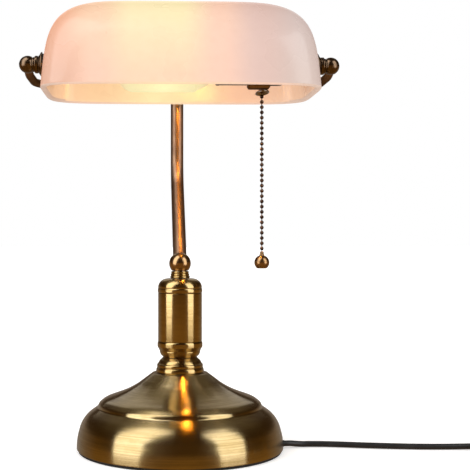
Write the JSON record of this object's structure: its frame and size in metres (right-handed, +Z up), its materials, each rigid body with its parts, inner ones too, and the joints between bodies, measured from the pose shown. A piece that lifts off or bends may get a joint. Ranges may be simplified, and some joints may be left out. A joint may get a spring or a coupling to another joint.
{
  "type": "banker desk lamp",
  "caption": "Desk lamp with a round weighted base, a turned column, a bent stem, a yoke, a tilting trough-shaped opal shade, a pull chain and a coiled mains lead.",
  "frame": {"origin": "middle of the foot, on the surface that the lamp stands on", "axes": "+Z up, +X along the shade's tilt axis towards the socket and the lead's exit, +Y to the back where the stem rises"},
  "size_m": [0.4563, 0.1716, 0.3717],
  "materials": {
    "antique_brass": "brushed antique brass under clear lacquer",
    "dark_bronze": "satin brown bronze plating on brass",
    "steel": "zinc plated steel",
    "nickel": "nickel plated brass",
    "iron": "rough cast iron, painted black",
    "foot_rubber": "matt black foam rubber",
    "fibre": "matt vulcanised fibre",
    "porcelain": "glazed porcelain",
    "opal_glass": "opal white cased glass with a satin outside",
    "bulb_glass": "clear blown glass",
    "filament": "glowing filament support",
    "cord_black": "smooth black flexible PVC",
    "tie_black": "matt black strap",
    "plug_black": "moulded black plastic"
  },
  "bodies": {
    "stand": {"foot_pad": "foot_rubber", "base_shell": "antique_brass", "base_weight": "iron", "lock_nut": "steel", "threaded_rod": "steel", "cord_bushing": "foot_rubber", "base_collar": "antique_brass", "lower_cup": "antique_brass", "column_sleeve": "antique_brass", "upper_cap": "antique_brass", "neck_rings": "antique_brass", "ball_coupling": "antique_brass", "stem_tube": "dark_bronze", "stem_hub": "dark_bronze", "hub_cap": "antique_brass", "yoke_arm_right": "dark_bronze", "ball_elbow_right": "dark_bronze", "flange_washer_right": "dark_bronze", "outer_fibre_washer_right": "fibre", "inner_fibre_washer_right": "fibre", "inner_nut_right": "antique_brass", "pivot_nipple_right": "steel", "yoke_arm_left": "dark_bronze", "ball_elbow_left": "dark_bronze", "flange_washer_left": "dark_bronze", "outer_fibre_washer_left": "fibre", "inner_fibre_washer_left": "fibre", "inner_nut_left": "antique_brass", "pivot_nipple_left": "steel", "socket_shell": "dark_bronze", "socket_cap": "dark_bronze", "socket_liner": "fibre", "screw_shell": "antique_brass", "socket_insulator": "porcelain", "centre_contact": "antique_brass", "switch_spindle": "steel", "return_spring": "steel", "switch_housing": "dark_bronze", "chain_bell": "antique_brass", "inner_lead": "cord_black", "power_cord": "cord_black", "cord_coil": "cord_black", "cord_tie": "tie_black", "cord_tail": "cord_black", "plug_body": "plug_black", "plug_pin_a": "nickel", "plug_pin_b": "nickel"},
    "shade": {"shade": "opal_glass"},
    "clamp_nut_left": {"clamp_nut_left": "dark_bronze"},
    "clamp_nut_right": {"clamp_nut_right": "dark_bronze"},
    "pull": {"pull_rod": "steel", "chain_1": "dark_bronze"},
    "chain_upper": {"chain_2": "dark_bronze"},
    "chain_lower": {"chain_3": "dark_bronze", "chain_knob": "antique_brass"},
    "cam": {"switch_cam": "fibre"},
    "bulb": {"bulb_glass": "bulb_glass", "bulb_cap": "nickel", "bulb_contact": "nickel", "filament": "filament"}
  },
  "joints": [
    {"name": "shade_tilt", "type": "hinge", "parent": "stand", "child": "shade", "pos_m": [0, 0, 0.32], "axis": [1, 0, 0], "range_deg": [-35, 35]},
    {"name": "clamp_nut_left_turn", "type": "hinge", "parent": "stand", "child": "clamp_nut_left", "pos_m": [-0.12, 0, 0.32], "axis": [-1, 0, 0], "continuous": true},
    {"name": "clamp_nut_right_turn", "type": "hinge", "parent": "stand", "child": "clamp_nut_right", "pos_m": [0.12, 0, 0.32], "axis": [1, 0, 0], "continuous": true},
    {"name": "bulb_unscrew", "type": "hinge", "parent": "stand", "child": "bulb", "pos_m": [0.03, 0, 0.32], "axis": [-1, 0, 0], "continuous": true},
    {"name": "chain_pull", "type": "slide", "parent": "stand", "child": "pull", "axis": [0, 0, -1], "range_m": [0, 0.008], "stiffness_N_per_m": 600, "springref_m": -0.002, "deforming": ["return_spring"]},
    {"name": "cam_turn", "type": "hinge", "parent": "stand", "child": "cam", "pos_m": [0.0755, 0, 0.32], "axis": [1, 0, 0], "range_deg": [0, 46]},
    {"name": "chain_upper_swing", "type": "hinge", "parent": "pull", "child": "chain_upper", "pos_m": [0.0685, 0, 0.2922], "axis": [1, 0, 0], "range_deg": [-25, 25]},
    {"name": "chain_lower_swing", "type": "hinge", "parent": "chain_upper", "child": "chain_lower", "pos_m": [0.0685, 0, 0.23089], "axis": [0, 1, 0], "range_deg": [-25, 25]}
  ],
  "couplings": [
    {"joint": "cam_turn", "follows": "chain_pull", "rad_per_m": 98}
  ]
}
